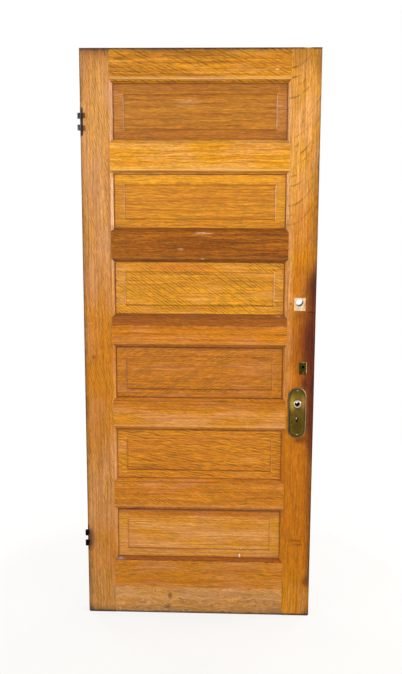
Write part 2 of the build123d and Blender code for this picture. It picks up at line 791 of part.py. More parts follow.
def thumb_pinion():
    outer = thumb_half + thumb_case_gauge
    disc = rod_y(root_radius, thumb_x, thumb_height, about(0, pinion_width))
    half_widths = (flank_root_share, flank_pitch_share, flank_tip_share)
    radii = (root_radius * math.cos(math.pi / pinion_teeth), pitch_radius, tip_radius)
    flank = [(share * gear_module, -radius) for share, radius in zip(half_widths, radii)]
    corners = flank + [(-x, z) for x, z in reversed(flank)]
    tooth = make_face(front_plane(thumb_x, thumb_height, -pinion_width / 2) * Polyline(*corners, close=True))
    tooth = extrude(tooth, amount=pinion_width, dir=(0, 1, 0))
    shaft = Axis((thumb_x, 0, thumb_height), (0, 1, 0))
    for index in range(pinion_teeth):
        disc = disc + tooth.rotate(shaft, index * 360 / pinion_teeth)
    boss = rod_y(pinion_boss_radius, thumb_x, thumb_height, about(0, 2 * outer))
    socket = block(about(thumb_x, thumb_socket), about(0, 4 * outer), about(thumb_height, thumb_socket))
    return disc + boss - socket


def thumb_plate_middle():
    return thumb_height - thumb_plate_drop


def thumb_plate_screw_heights():
    reach = thumb_plate_height / 2 - thumb_plate_screw_inset
    return (thumb_plate_middle() - reach, thumb_plate_middle() + reach)


def thumb_turn_plate():
    plate = extrude(Rectangle(thumb_plate_width, thumb_plate_height), amount=thumb_plate_gauge, dir=(0, 0, 1))
    plate = chamfer(plate.faces().sort_by(Axis.Z)[-1].edges(), thumb_plate_chamfer)
    made = front_plane(thumb_x, thumb_plate_middle()) * plate
    through = (front_face - overrun, front_face + overrun)
    made = made - rod_y(thumb_plate_hole, thumb_x, thumb_height, through)
    for z in thumb_plate_screw_heights():
        made = made - rod_y(small_screw_shank + screw_gap, thumb_x, z, through)
    return made


def thumb_plate_screws():
    return face_screws(small_screw, thumb_x, front_face - thumb_plate_gauge, thumb_plate_screw_heights())


def lock_stile():
    made = mirror(stile_blank(), about=Plane.YZ)
    made = made - lock_pocket() - lock_front_recess()
    through = about(0, 2 * leaf_thickness)
    made = made - rod_y(collar_bore + spindle_room, knob_x, knob_height, through)
    made = made - keyhole(keyhole_room, through)
    edge_places = lock_front_screw_places() + thumb_front_screw_places()
    for hole in edge_screws(front_screw, edge_places, (1, 0, 0), screw_gap):
        made = made - hole
    made = made - thumb_pocket() - thumb_front_recess()
    made = made - rod_y(thumb_wood_hole, thumb_x, thumb_height, (front_face - overrun, 0))
    made = made - rod_y(cylinder_radius, cylinder_x, cylinder_height, through)
    patch_x = about(cylinder_x + patch_side, patch_width)
    patch_z = about(cylinder_height - patch_drop, patch_height)
    made = made - block(patch_x, (front_face - overrun, front_face + patch_depth), patch_z)
    plate_y = front_face - escutcheon_gauge
    for hole in face_screws(plate_screw, knob_x, plate_y, escutcheon_screw_heights(), screw_gap):
        made = made - hole - mirror(hole, about=Plane.XZ)
    plate_y = front_face - thumb_plate_gauge
    for hole in face_screws(small_screw, thumb_x, plate_y, thumb_plate_screw_heights(), screw_gap):
        made = made - hole
    return made


os.makedirs("parts", exist_ok=True)
save("hinge_stile", hinge_stile())
save("lock_stile", lock_stile())
for rail_name, rail in rails().items():
    save(rail_name, rail)
for panel_number in range(cross_rail_count + 1):
    save(f"panel_{panel_number + 1}", panel(panel_number))
for place, hinge_middle in hinge_middles().items():
    save(f"{place}_hinge_leaf", hinge_plate(hinge_middle))
    save(f"{place}_hinge_screws", *edge_screws(hinge_screw, hinge_screw_places(hinge_middle), (-1, 0, 0)))
escutcheon = front_escutcheon()
save("front_escutcheon", escutcheon)
save("back_escutcheon", mirror(escutcheon, about=Plane.XZ))
save("escutcheon_screws", *escutcheon_screws())
save("lock_case", lock_case())
save("lock_cap", lock_cap())
save("lock_cap_screw", placed(screw(cap_screw), cap_screw_place(), (0, -1, 0)))
save("lock_front", lock_front())
save("lock_front_screws", *edge_screws(front_screw, lock_front_screw_places(), (1, 0, 0)))
save("knob_hub", knob_hub())
save("latch_bolt", latch_bolt())
save("dead_bolt", dead_bolt())
save("dead_bolt_spring", dead_bolt_spring())
save("thumb_bolt_case", thumb_case_body())
save("thumb_bolt_cap", thumb_case_cap())
save("thumb_bolt_front", thumb_front())
save("thumb_bolt_front_screws", *edge_screws(front_screw, thumb_front_screw_places(), (1, 0, 0)))
save("thumb_bolt", thumb_bolt())
save("thumb_pinion", thumb_pinion())
save("thumb_turn_plate", thumb_turn_plate())
save("thumb_plate_screws", *thumb_plate_screws())
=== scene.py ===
import math
import bpy
from mathutils import Matrix, Vector

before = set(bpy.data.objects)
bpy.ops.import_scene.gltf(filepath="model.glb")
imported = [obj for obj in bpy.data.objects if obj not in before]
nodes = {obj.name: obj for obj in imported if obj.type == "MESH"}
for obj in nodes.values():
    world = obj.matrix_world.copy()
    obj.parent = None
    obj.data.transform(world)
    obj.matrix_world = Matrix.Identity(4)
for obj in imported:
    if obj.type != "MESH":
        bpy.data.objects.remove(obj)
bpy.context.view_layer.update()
scene = bpy.context.scene


def linear(hexColour):  # sRGB hex to the linear colour that the shaders take
    parts = [int(hexColour[i:i + 2], 16) / 255 for i in (1, 3, 5)]
    return tuple(p / 12.92 if p <= 0.04045 else ((p + 0.055) / 1.055) ** 2.4 for p in parts) + (1.0,)


def addNode(tree, kind, inputs=None, **settings):  # one node with its settings, values and links
    node = tree.nodes.new("ShaderNode" + kind)
    for key, value in settings.items():
        setattr(node, key, value)
    for key, value in (inputs or {}).items():
        if isinstance(value, bpy.types.NodeSocket):
            tree.links.new(value, node.inputs[key])
        else:
            node.inputs[key].default_value = value
    return node.outputs


def newMaterial(name, **sockets):  # the shader's own sockets take what is the same all over
    material = bpy.data.materials.new(name)
    material.use_nodes = True
    shader = material.node_tree.nodes["Principled BSDF"]
    for socket, value in sockets.items():
        shader.inputs[socket.replace("_", " ")].default_value = value
    return material, material.node_tree, shader


def dress(node, material):
    mesh = nodes[node].data
    mesh.materials.clear()
    mesh.materials.append(material)


def placeInMm(tree):  # a CAD node sits at the origin, so object coordinates are the row frame
    place = addNode(tree, "TexCoord")["Object"]
    return addNode(tree, "VectorMath", {0: place, "Scale": 1000}, operation="SCALE")[0]


# A mark is an oval or a square: its middle and half sizes in mm, how soft its edge is, how much it covers and
# its colour. A crisp one has no ragged edge, and one that goes through isn't kept to the front face
marking = {"rag": 12.0, "ragSize": 15.0, "ragDetail": 3, "soft": 0.8, "depth": (-1.0, -7.0)}  # mm


def paintMarks(tree, colour, place, marks, rag=1.0):  # stains, scuffs and rubs, and some painted highlights and shadows, one over another
    wobble = addNode(tree, "TexNoise", {"Vector": place, "Scale": 1 / marking["ragSize"],
                                        "Detail": marking["ragDetail"]})["Color"]
    wobble = addNode(tree, "VectorMath", {0: wobble, 1: (0.5, 0.5, 0.5)}, operation="SUBTRACT")[0]
    wobble = addNode(tree, "VectorMath", {0: wobble, "Scale": marking["rag"] * rag}, operation="SCALE")[0]
    ragged = addNode(tree, "VectorMath", {0: place, 1: wobble})[0]
    depth = addNode(tree, "SeparateXYZ", {0: place})["Y"]
    for mark in marks:
        (x, z), (halfX, halfZ) = mark["at"], mark["half"]
        start = place if mark.get("crisp") else ragged
        offset = addNode(tree, "VectorMath", {0: start, 1: (x, 0, z)}, operation="SUBTRACT")[0]
        scaled = addNode(tree, "VectorMath", {0: offset, 1: (1 / halfX, 0, 1 / halfZ)},
                         operation="MULTIPLY")[0]
        if mark.get("square"):
            sides = addNode(tree, "VectorMath", {0: scaled}, operation="ABSOLUTE")[0]
            sides = addNode(tree, "SeparateXYZ", {0: sides})
            reach = addNode(tree, "Math", {0: sides["X"], 1: sides["Z"]}, operation="MAXIMUM")[0]
        else:
            reach = addNode(tree, "VectorMath", {0: scaled}, operation="LENGTH")["Value"]
        full = 1 - mark.get("soft", marking["soft"])
        inside = addNode(tree, "MapRange", {"Value": reach, "From Min": 1, "From Max": full,
                                            "To Max": mark["amount"]}, interpolation_type="SMOOTHSTEP")[0]
        if not mark.get("through"):
            behind, front = mark.get("depth", marking["depth"])
            front = addNode(tree, "MapRange", {"Value": depth, "From Min": behind, "From Max": front})[0]
            inside = addNode(tree, "Math", {0: inside, 1: front}, operation="MULTIPLY")[0]
        colour = addNode(tree, "Mix", {0: inside, 6: colour, 7: linear(mark["colour"])}, data_type="RGBA")[2]
    return colour


grainNoise = {"detail": 2, "roughness": 0.6}
lineWave = {"oneBand": math.tau / 20, "detail": 2, "fade": 0.1, "sway": 3.0, "thin": 0.4}  # one band a unit


def stretchedNoise(tree, place, size, detail=grainNoise["detail"]):  # mm along and across the grain
    length, width = size
    scaled = addNode(tree, "VectorMath", {0: place, 1: (1 / length, 1 / width, 1 / width)},
                     operation="MULTIPLY")[0]
    return addNode(tree, "TexNoise", {"Vector": scaled, "Scale": 1, "Detail": detail,
                                      "Roughness": grainNoise["roughness"]})[0]


def brokenLines(tree, place, line):  # parallel lines at a slant, broken into lengths, in mm
    turned = addNode(tree, "VectorRotate", {"Vector": place, "Angle": math.radians(line["angle"])},
                     rotation_type="Z_AXIS")[0]
    wave = addNode(tree, "TexWave", {"Vector": turned, "Scale": lineWave["oneBand"] / line["period"],
                                     "Distortion": line.get("sway", lineWave["sway"]),
                                     "Detail": lineWave["detail"], "Detail Scale": 1 / line["length"]},
                   bands_direction="Y")[1]
    thin = addNode(tree, "MapRange", {"Value": wave, "From Min": line.get("thin", lineWave["thin"])},
                   interpolation_type="SMOOTHSTEP")[0]
    broken = stretchedNoise(tree, turned, (line["length"], line["period"]))
    broken = addNode(tree, "MapRange", {"Value": broken, "From Min": line["from"],
                                        "From Max": line["from"] + lineWave["fade"]})[0]
    return addNode(tree, "Math", {0: thin, 1: broken}, operation="MULTIPLY")[0]


# Quarter-sawn oak under amber shellac: planed boards, so the eye sees ray flecks across a straight grain,
# fine open pores, and a soft gloss that is worn thin; pores are drawn four times as coarse as they are
oakFinish = {
    "roughness": (0.36, 0.55), "specular": 0.25, "coat": 0.6, "coatRoughness": 0.2,
    "streak": (320.0, 9.0), "streakDetail": 4, "pores": (40.0, 3.4), "finePores": (14.0, 1.5),  # mm
    "patches": (150.0, 50.0), "wander": (240.0, 60.0, 9.0), "seedStep": (731.0, 397.0),  # mm
    "streakSteps": (0.34, 0.5, 0.66), "poreSteps": (0.34, 0.66), "sheenSteps": (0.3, 0.7),
    "fleckSteps": (0.35, 0.55), "thinFleck": 0.35, "hueSteps": (0.35, 0.65),
    "hue": (0.4985, 0.5015), "saturation": (1.03, 1.11),
    "poreShade": (0.68, 1.28), "poreDepth": 0.0002, "bump": 0.3,  # depth in m
    "dirtAndShade": "#461600", "dirtAndShadeReach": 0.008, "dirtAndShadeFrom": (0.75, 0.3), "dirtAndShadeAmount": 0.75,  # reach in m
}
growthLines = {"angle": 0, "period": 11.0, "sway": 5.0, "length": 140.0, "thin": 0.5, "from": 0.45,
               "amount": 0.22}
# the first span is where the painted highlight lies on the face beside a moulding; band and lines are where
# its painted shade lies
mouldingEdge = {"paintedLight": (-12.0, -2.0), "band": (-1.0, 1.0), "lines": (1.0, 11.0),
                "lineFade": (3.0, 0.5)}  # mm past the flat face
closenessSamples = 8


def rayFlecks(tree, fleck, axes, across, grain, bent, spread):  # short dark ribbons at a slant to the grain
    course = bent
    if "arc" in fleck:  # feathers that climb and steepen across a stile
        start, width, rise = fleck["arc"]
        sweep = addNode(tree, "MapRange", {"Value": axes[across], "From Min": start,
                                           "From Max": start + width}, clamp=False)[0]
        sweep = addNode(tree, "Math", {0: sweep, 1: sweep}, operation="MULTIPLY")[0]
        sweep = addNode(tree, "Math", {0: sweep, 1: -rise}, operation="MULTIPLY")[0]
        shift = addNode(tree, "CombineXYZ", {0: sweep})[0]
        course = addNode(tree, "VectorMath", {0: grain, 1: shift})[0]
    ribbon = brokenLines(tree, course, fleck)
    low, high = oakFinish["fleckSteps"]
    thick = addNode(tree, "MapRange", {"Value": spread, "From Min": low, "From Max": high,
                                       "To Min": oakFinish["thinFleck"]})[0]
    if "zone" in fleck:  # heights between which the flecks come in
        low, high = fleck["zone"]
        zone = addNode(tree, "MapRange", {"Value": axes["Z"], "From Min": low, "From Max": high})[0]
        thick = addNode(tree, "Math", {0: thick, 1: zone}, operation="MULTIPLY")[0]
    return addNode(tree, "Math", {0: ribbon, 1: thick}, operation="MULTIPLY")[0]


# A moulding is the height of its face's edge in mm, the way it goes from there, how dark its painted shade
# band and lines are, and how strong the painted highlight is on the face beside it
def mouldingShadeAndHighlight(tree, board, axes, colour, dirtAndShade):
    for faceEdge, side, band, line, pale in board.get("mouldings", ()):
        beyond = addNode(tree, "MapRange", {"Value": axes["Z"], "From Min": faceEdge,
                                            "From Max": faceEdge + side}, clamp=False)[0]
        # a painted highlight on the flat face just beside the moulding
        low, high = mouldingEdge["paintedLight"]
        paintedLight = addNode(tree, "MapRange", {"Value": beyond, "From Min": low, "From Max": high,
                                          "To Max": pale})[0]
        flat = addNode(tree, "Math", {0: beyond, 1: 0}, operation="LESS_THAN")[0]
        paintedLight = addNode(tree, "Math", {0: paintedLight, 1: flat}, operation="MULTIPLY")[0]
        colour = addNode(tree, "Mix", {0: paintedLight, 6: colour, 7: linear(board["pale"])}, data_type="RGBA")[2]
        # painted shade: a dark band on the moulding and thin dark lines at its quirks
        low, high = mouldingEdge["band"]
        inBand = addNode(tree, "MapRange", {"Value": beyond, "From Min": low, "From Max": high,
                                            "To Max": band})[0]
        dirtAndShade = addNode(tree, "Math", {0: dirtAndShade, 1: inBand}, operation="MAXIMUM")[0]
        low, high = mouldingEdge["lineFade"]
        for middle in mouldingEdge["lines"]:
            gap = addNode(tree, "Math", {0: beyond, 1: middle}, operation="SUBTRACT")[0]
            gap = addNode(tree, "Math", {0: gap}, operation="ABSOLUTE")[0]
            thin = addNode(tree, "MapRange", {"Value": gap, "From Min": low, "From Max": high,
                                              "To Max": line})[0]
            dirtAndShade = addNode(tree, "Math", {0: dirtAndShade, 1: thin}, operation="MAXIMUM")[0]
    return colour, dirtAndShade


def outlineShadow(tree, sight, axes, dirtAndShade):  # a painted shadow line just inside each outline of a panel
    outX = addNode(tree, "Math", {0: axes["X"]}, operation="ABSOLUTE")[0]
    upZ = addNode(tree, "Math", {0: axes["Z"], 1: sight["middle"]}, operation="SUBTRACT")[0]
    for (halfX, top, low), reach, amount, limit in sight["lines"]:
        outZ = addNode(tree, "MapRange", {"Value": upZ, "From Min": low, "From Max": top, "To Min": -1},
                       clamp=False)[0]
        outZ = addNode(tree, "Math", {0: outZ}, operation="ABSOLUTE")[0]
        overZ = addNode(tree, "MapRange", {"Value": outZ, "To Min": (low - top) / 2, "To Max": 0},
                        clamp=False)[0]
        overX = addNode(tree, "Math", {0: outX, 1: halfX}, operation="SUBTRACT")[0]
        edge = addNode(tree, "Math", {0: overX, 1: overZ}, operation="MAXIMUM")[0]
        line = addNode(tree, "MapRange", {"Value": edge, "From Min": -reach, "From Max": 0,
                                          "To Max": amount})[0]
        inside = addNode(tree, "Math", {0: edge, 1: limit}, operation="LESS_THAN")[0]
        line = addNode(tree, "Math", {0: line, 1: inside}, operation="MULTIPLY")[0]
        dirtAndShade = addNode(tree, "Math", {0: dirtAndShade, 1: line}, operation="MAXIMUM")[0]
    return dirtAndShade


def oakBoard(name, board):
    finish = {**oakFinish, **board}  # a board's own values stand before the common ones
    material, tree, shader = newMaterial(name, Coat_Weight=finish["coat"],
                                         Coat_Roughness=finish["coatRoughness"],
                                         Specular_IOR_Level=finish["specular"])
    place = placeInMm(tree)
    axes = addNode(tree, "SeparateXYZ", {0: place})
    along, across = ("Z", "X") if board["grain"] == "z" else ("X", "Z")
    grain = addNode(tree, "CombineXYZ", {0: axes[along], 1: axes[across], 2: axes["Y"]})[0]
    stepAlong, stepAcross = finish["seedStep"]
    seedPlace = (board["seed"] * stepAlong, board["seed"] * stepAcross, 0)
    grain = addNode(tree, "VectorMath", {0: grain, 1: seedPlace})[0]
    # the grain wanders slowly across the board
    wanderLength, wanderWidth, wanderMm = finish["wander"]
    wander = stretchedNoise(tree, grain, (wanderLength, wanderWidth))
    wander = addNode(tree, "MapRange", {"Value": wander, "To Min": -wanderMm, "To Max": wanderMm})[0]
    shift = addNode(tree, "CombineXYZ", {1: wander})[0]
    bent = addNode(tree, "VectorMath", {0: grain, 1: shift})[0]
    # growth streaks carry the board's own three colours
    streak = stretchedNoise(tree, bent, finish["streak"], finish["streakDetail"])
    low, middle, high = finish["streakSteps"]
    early = addNode(tree, "MapRange", {"Value": streak, "From Min": low, "From Max": middle})[0]
    late = addNode(tree, "MapRange", {"Value": streak, "From Min": middle, "From Max": high})[0]
    dark, mid, light = (linear(board[key]) for key in ("dark", "mid", "light"))
    colour = addNode(tree, "Mix", {0: early, 6: dark, 7: mid}, data_type="RGBA")[2]
    colour = addNode(tree, "Mix", {0: late, 6: colour, 7: light}, data_type="RGBA")[2]
    colour = paintMarks(tree, colour, place, board.get("marks", ()))
    # ray flecks, thick in some places and thin in others, growth lines and open pores: dashes with the grain
    spread = stretchedNoise(tree, grain, finish["patches"], 1)
    ribbon = rayFlecks(tree, board["fleck"], axes, across, grain, bent, spread)
    rings = brokenLines(tree, bent, growthLines)
    pore = stretchedNoise(tree, bent, finish["pores"])
    fine = stretchedNoise(tree, bent, finish["finePores"])
    darkest, lightest = finish["poreShade"]
    low, high = finish["poreSteps"]
    shade, fineShade = (addNode(tree, "MapRange", {"Value": dashes, "From Min": low, "From Max": high,
                                                   "To Min": lightest, "To Max": darkest})[0]
                        for dashes in (pore, fine))
    fleckShade, ringShade = (addNode(tree, "MapRange", {"Value": lines, "To Min": 1, "To Max": 1 - amount})[0]
                             for lines, amount in ((ribbon, board["fleck"]["amount"]),
                                                   (rings, growthLines["amount"])))
    for other in (fleckShade, ringShade, fineShade):
        shade = addNode(tree, "Math", {0: shade, 1: other}, operation="MULTIPLY")[0]
    low, high = finish["hueSteps"]
    hue, saturation = (addNode(tree, "MapRange", {"Value": spread, "From Min": low, "From Max": high,
                                                  "To Min": least, "To Max": most})[0]
                       for least, most in (finish["hue"], finish["saturation"]))
    colour = addNode(tree, "HueSaturation", {"Color": colour, "Hue": hue, "Saturation": saturation,
                                             "Value": shade})[0]
    # dirt and painted shade in the quirks, painted shade and highlight along the mouldings' edges, and
    # painted shadow lines where a panel dips under them
    closeness = addNode(tree, "AmbientOcclusion", {"Distance": finish["dirtAndShadeReach"]},
                        samples=closenessSamples)["AO"]
    low, high = finish["dirtAndShadeFrom"]
    dirtAndShade = addNode(tree, "MapRange", {"Value": closeness, "From Min": low, "From Max": high,
                                      "To Max": finish["dirtAndShadeAmount"]})[0]
    colour, dirtAndShade = mouldingShadeAndHighlight(tree, board, axes, colour, dirtAndShade)
    if "sight" in board:
        dirtAndShade = outlineShadow(tree, board["sight"], axes, dirtAndShade)
    colour = addNode(tree, "Mix", {0: dirtAndShade, 6: colour, 7: linear(finish["dirtAndShade"])}, data_type="RGBA")[2]
    tree.links.new(colour, shader.inputs["Base Color"])
    low, high = finish["sheenSteps"]
    smooth, dull = finish["roughness"]
    rough = addNode(tree, "MapRange", {"Value": streak, "From Min": low, "From Max": high, "To Min": smooth,
                                       "To Max": dull})[0]
    tree.links.new(rough, shader.inputs["Roughness"])
    relief = addNode(tree, "Math", {0: pore, 1: ribbon})[0]
    bump = addNode(tree, "Bump", {"Height": relief, "Strength": finish["bump"],
                                  "Distance": finish["poreDepth"]}, invert=True)[0]
    tree.links.new(bump, shader.inputs["Normal"])
    return material


topRail = {
    "pale": "#f0bd74", "mouldings": [(2003.0, -1, 0.14, 0.42, 0.5)],
    "grain": "x", "seed": 1, "light": "#e6a34c", "mid": "#cf8835", "dark": "#ac6d23",
    "fleck": {"angle": 24, "period": 10.0, "length": 45.0, "from": 0.46, "amount": 0.5},
    "poreShade": (0.78, 1.18),
    "marks": [
        {"at": (0, 2112), "half": (900, 36), "soft": 1, "amount": 0.75, "colour": "#8a5a24"},
        {"at": (0, 2112), "half": (900, 11), "soft": 0.6, "amount": 0.9, "colour": "#3c3026"},
        {"at": (-285, 2073), "half": (34, 8), "amount": 0.6, "colour": "#6b461c"},
        {"at": (-10, 2078), "half": (190, 22), "soft": 1, "amount": 0.4, "colour": "#8f5a20"},
        {"at": (0, 2112), "half": (900, 4), "soft": 0.5, "amount": 0.85,
         "colour": "#4a3a2a", "through": True},
        {"at": (271, 2037), "half": (10, 4), "soft": 0.5, "amount": 0.7, "colour": "#f0c98c"},
    ],
}
dress("top_rail", oakBoard("quarterSawnOakTopRail", topRail))

hingeStile = {
    "grain": "z", "seed": 2, "light": "#d99f66", "mid": "#cd915a", "dark": "#bd834e",
    "poreShade": (0.82, 1.15),
    "fleck": {"angle": 16, "period": 8.0, "sway": 4.0, "length": 26.0, "from": 0.48, "amount": 0.34},
    "marks": [
        {"at": (-370, 950), "half": (300, 520), "soft": 1, "amount": 0.75, "colour": "#c6781f"},
        {"at": (-370, 260), "half": (300, 260), "soft": 1, "amount": 0.6, "colour": "#c27824"},
        {"at": (-431, 800), "half": (30, 800), "soft": 0.9, "amount": 0.75, "colour": "#764a14"},
        {"at": (-431, 120), "half": (34, 320), "soft": 0.9, "amount": 0.8, "colour": "#5f3f20"},
        {"at": (-430, 1500), "half": (32, 760), "soft": 1, "amount": 0.6, "colour": "#7a4e20"},
        {"at": (-365, 1870), "half": (90, 280), "soft": 1, "amount": 0.5, "colour": "#e0a666"},
        {"at": (-375, 2105), "half": (300, 70), "soft": 1, "amount": 0.35, "colour": "#94602c"},
        {"at": (-428, 1055), "half": (10, 1100), "soft": 0.8, "amount": 0.8, "colour": "#5c3810"},
        {"at": (-426, 1055), "half": (3.4, 4000), "soft": 0.5, "amount": 0.8,
         "colour": "#74491f", "square": True, "crisp": True, "through": True},
        {"at": (-426, 1055), "half": (3.4, 4000), "soft": 0.5, "amount": 1.0,
         "colour": "#161009", "square": True, "crisp": True, "depth": (-19.0, -21.5)},
        {"at": (-428, 299), "half": (46, 70), "soft": 0.95, "amount": 0.9, "colour": "#4a2406"},
        # a dark strip of dirt and painted shade along the hinge, and the painted shadows of its two knuckles
        # on the face
        {"at": (-421, 1858.5), "half": (6.5, 51), "soft": 0.1, "amount": 0.97,
         "colour": "#261000", "square": True, "crisp": True},
        {"at": (-411, 1880), "half": (5.0, 11.5), "soft": 0.3, "amount": 0.9,
         "colour": "#6c3a00", "square": True, "crisp": True},
        {"at": (-411, 1836), "half": (5.4, 11.0), "soft": 0.3, "amount": 0.9,
         "colour": "#7a4200", "square": True, "crisp": True},
        # painted highlights on the stile's moulding
        {"at": (-316, 640), "half": (7, 440), "soft": 0.3, "amount": 0.3,
         "colour": "#eab070", "square": True, "crisp": True},
        {"at": (-316, 1580), "half": (7, 100), "soft": 0.3, "amount": 0.35,
         "colour": "#ffd2a4", "square": True, "crisp": True},
        {"at": (-391, 1009), "half": (12, 12), "amount": 0.6, "colour": "#7c4512"},
        {"at": (-400, 1135), "half": (12, 5), "amount": 0.5, "colour": "#e3b175"},
        {"at": (-375, 2112), "half": (300, 46), "soft": 1, "amount": 0.8, "colour": "#8a5426"},
        {"at": (-430, 2000), "half": (26, 190), "soft": 0.9, "amount": 0.85, "colour": "#745026"},
        {"at": (-370, 60), "half": (300, 100), "soft": 1, "amount": 0.5, "colour": "#c08a52"},
        {"at": (-375, 2), "half": (300, 34), "soft": 1, "amount": 0.65, "colour": "#735536"},
        {"at": (-375, 2113), "half": (300, 17), "soft": 0.6, "amount": 0.9, "colour": "#3e3426"},
        {"at": (-375, 2112), "half": (300, 4), "soft": 0.5, "amount": 0.85,
         "colour": "#4a3a2a", "through": True},
        {"at": (-375, -2), "half": (300, 14), "soft": 0.6, "amount": 0.9, "colour": "#2e2a24"},
        {"at": (-432, -4), "half": (46, 60), "soft": 0.9, "amount": 0.8, "colour": "#4a3420"},
    ],
}
lockStile = {
    "grain": "z", "seed": 3, "light": "#e7a968", "mid": "#dc9d54", "dark": "#c88745",
    "poreShade": (0.76, 1.2), "coat": 0.15,
    "fleck": {"angle": 90, "period": 34.0, "sway": 4.0, "length": 60.0, "thin": 0.82, "from": 0.48,
              "amount": 0.5, "arc": (320.0, 104.0, 110.0), "zone": (1420.0, 1560.0)},
    "marks": [
        {"at": (372, 1430), "half": (300, 260), "soft": 1, "amount": 0.75, "colour": "#c9803a"},
        {"at": (372, 620), "half": (400, 900), "soft": 0.7, "amount": 0.95, "colour": "#be6e14"},
        {"at": (428, 900), "half": (58, 900), "soft": 0.9, "amount": 0.75, "colour": "#8e5016"},
        {"at": (326, 1330), "half": (22, 900), "soft": 0.9, "amount": 0.45, "colour": "#dca873"},
        {"at": (345, 1180), "half": (40, 200), "soft": 1, "amount": 0.6, "colour": "#cf8238"},
        {"at": (428, 1560), "half": (44, 500), "soft": 1, "amount": 0.8, "colour": "#8c5a1e"},
        {"at": (427, 1050), "half": (8, 1100), "soft": 0.7, "amount": 0.75, "colour": "#5a3c1e"},
        {"at": (426, 1055), "half": (3.4, 4000), "soft": 0.5, "amount": 0.8,
         "colour": "#74491f", "square": True, "crisp": True, "through": True},
        {"at": (426, 1055), "half": (3.4, 4000), "soft": 0.5, "amount": 1.0,
         "colour": "#161009", "square": True, "crisp": True, "depth": (-19.0, -21.5)},
        {"at": (430, 1060), "half": (136, 320), "soft": 1, "amount": 1.0, "colour": "#742600"},
        {"at": (431, 430), "half": (36, 460), "soft": 0.9, "amount": 0.8, "colour": "#643406"},
        {"at": (375, 2110), "half": (300, 110), "soft": 1, "amount": 0.6, "colour": "#9c6828"},
        {"at": (428, 2060), "half": (34, 150), "soft": 1, "amount": 0.7, "colour": "#744c20"},
        {"at": (440, 1266), "half": (80, 130), "soft": 0.7, "amount": 0.95, "colour": "#521800"},
        {"at": (434, 1285), "half": (26, 66), "soft": 0.8, "amount": 0.9, "colour": "#2a0c04"},
        {"at": (438, 1060), "half": (80, 245), "soft": 0.65, "amount": 0.97, "colour": "#5a1e00"},
        {"at": (436, 800), "half": (58, 250), "soft": 0.6, "amount": 0.95, "colour": "#5a1e00"},
        {"at": (392, 915), "half": (22, 40), "soft": 0.9, "amount": 0.8, "colour": "#561600"},
        {"at": (362, 1310), "half": (40, 110), "soft": 1, "amount": 0.55, "colour": "#b05c08"},
        {"at": (367, 1172), "half": (28, 30), "soft": 1, "amount": 0.6, "colour": "#7c3a08"},
        # painted shadow and dirt below the escutcheon
        {"at": (380, 703), "half": (44, 26), "soft": 0.9, "amount": 0.85, "colour": "#723400"},
        {"at": (421, 912), "half": (16, 60), "soft": 0.9, "amount": 0.75, "colour": "#340e00"},
        {"at": (421, 1060), "half": (12, 70), "soft": 0.9, "amount": 0.5, "colour": "#3a1200"},
        {"at": (342, 935), "half": (16, 60), "soft": 1, "amount": 0.6, "colour": "#e0944c"},
        {"at": (333, 845), "half": (9, 70), "soft": 0.9, "amount": 0.45, "colour": "#764010"},
        # painted highlights on the stile's moulding
        {"at": (316, 1735), "half": (7, 260), "soft": 0.3, "amount": 0.3,
         "colour": "#f0c098", "square": True, "crisp": True},
        {"at": (316, 950), "half": (7, 130), "soft": 0.3, "amount": 0.3,
         "colour": "#e09a50", "square": True, "crisp": True},
        {"at": (316, 323), "half": (7, 110), "soft": 0.3, "amount": 0.3,
         "colour": "#e09a50", "square": True, "crisp": True},
        {"at": (412, 1182), "half": (34, 4), "soft": 0.7, "amount": 0.8, "colour": "#3a1c10"},
        {"at": (372, 305), "half": (40, 5), "soft": 0.9, "amount": 0.7, "colour": "#6e4a26"},
        {"at": (378, 288), "half": (36, 5), "soft": 0.9, "amount": 0.7, "colour": "#6e4a26"},
        {"at": (412, 140), "half": (24, 34), "soft": 0.9, "amount": 0.8, "colour": "#6a2f12"},
        {"at": (430, 150), "half": (34, 240), "soft": 0.9, "amount": 0.7, "colour": "#5e3a1c"},
        {"at": (372, 72), "half": (300, 90), "soft": 1, "amount": 0.5, "colour": "#cc8c48"},
        {"at": (375, 2112), "half": (300, 12), "soft": 0.7, "amount": 0.85, "colour": "#4a3826"},
        {"at": (375, 2112), "half": (300, 4), "soft": 0.5, "amount": 0.85,
         "colour": "#4a3a2a", "through": True},
        {"at": (376, 2109), "half": (16, 5), "soft": 0.6, "amount": 0.9, "colour": "#d8b07c"},
        {"at": (375, -2), "half": (300, 14), "soft": 0.6, "amount": 0.9, "colour": "#2e2a24"},
        {"at": (432, -4), "half": (50, 60), "soft": 0.9, "amount": 0.85, "colour": "#3c2a1c"},
        {"at": (367, 1212), "half": (21.0, 24.3), "soft": 0.03, "amount": 0.95,
         "colour": "#efd2ac", "square": True, "crisp": True},
        {"at": (384, 1206), "half": (5, 19), "soft": 0.9, "amount": 0.7,
         "colour": "#b98a58", "crisp": True},
        {"at": (334, 1214), "half": (5, 4), "soft": 0.6, "amount": 0.8, "colour": "#5a3010"},
        # painted shade and dirt on the cylinder hole's wall
        {"at": (365, 1218), "half": (13.6, 13.6), "soft": 0.04, "amount": 1.0,
         "colour": "#1a120c", "crisp": True, "through": True},
    ],
}
stileEdges = {"from": 419, "depth": (23.0, -5.0)}  # mm; a stain at an edge goes round it and thins out behind
for stileName, stile in (("hinge_stile", hingeStile), ("lock_stile", lockStile)):
    for mark in stile["marks"]:
        if abs(mark["at"][0]) > stileEdges["from"]:
            mark.setdefault("depth", stileEdges["depth"])
    dress(stileName, oakBoard("quarterSawnOak_" + stileName, stile))

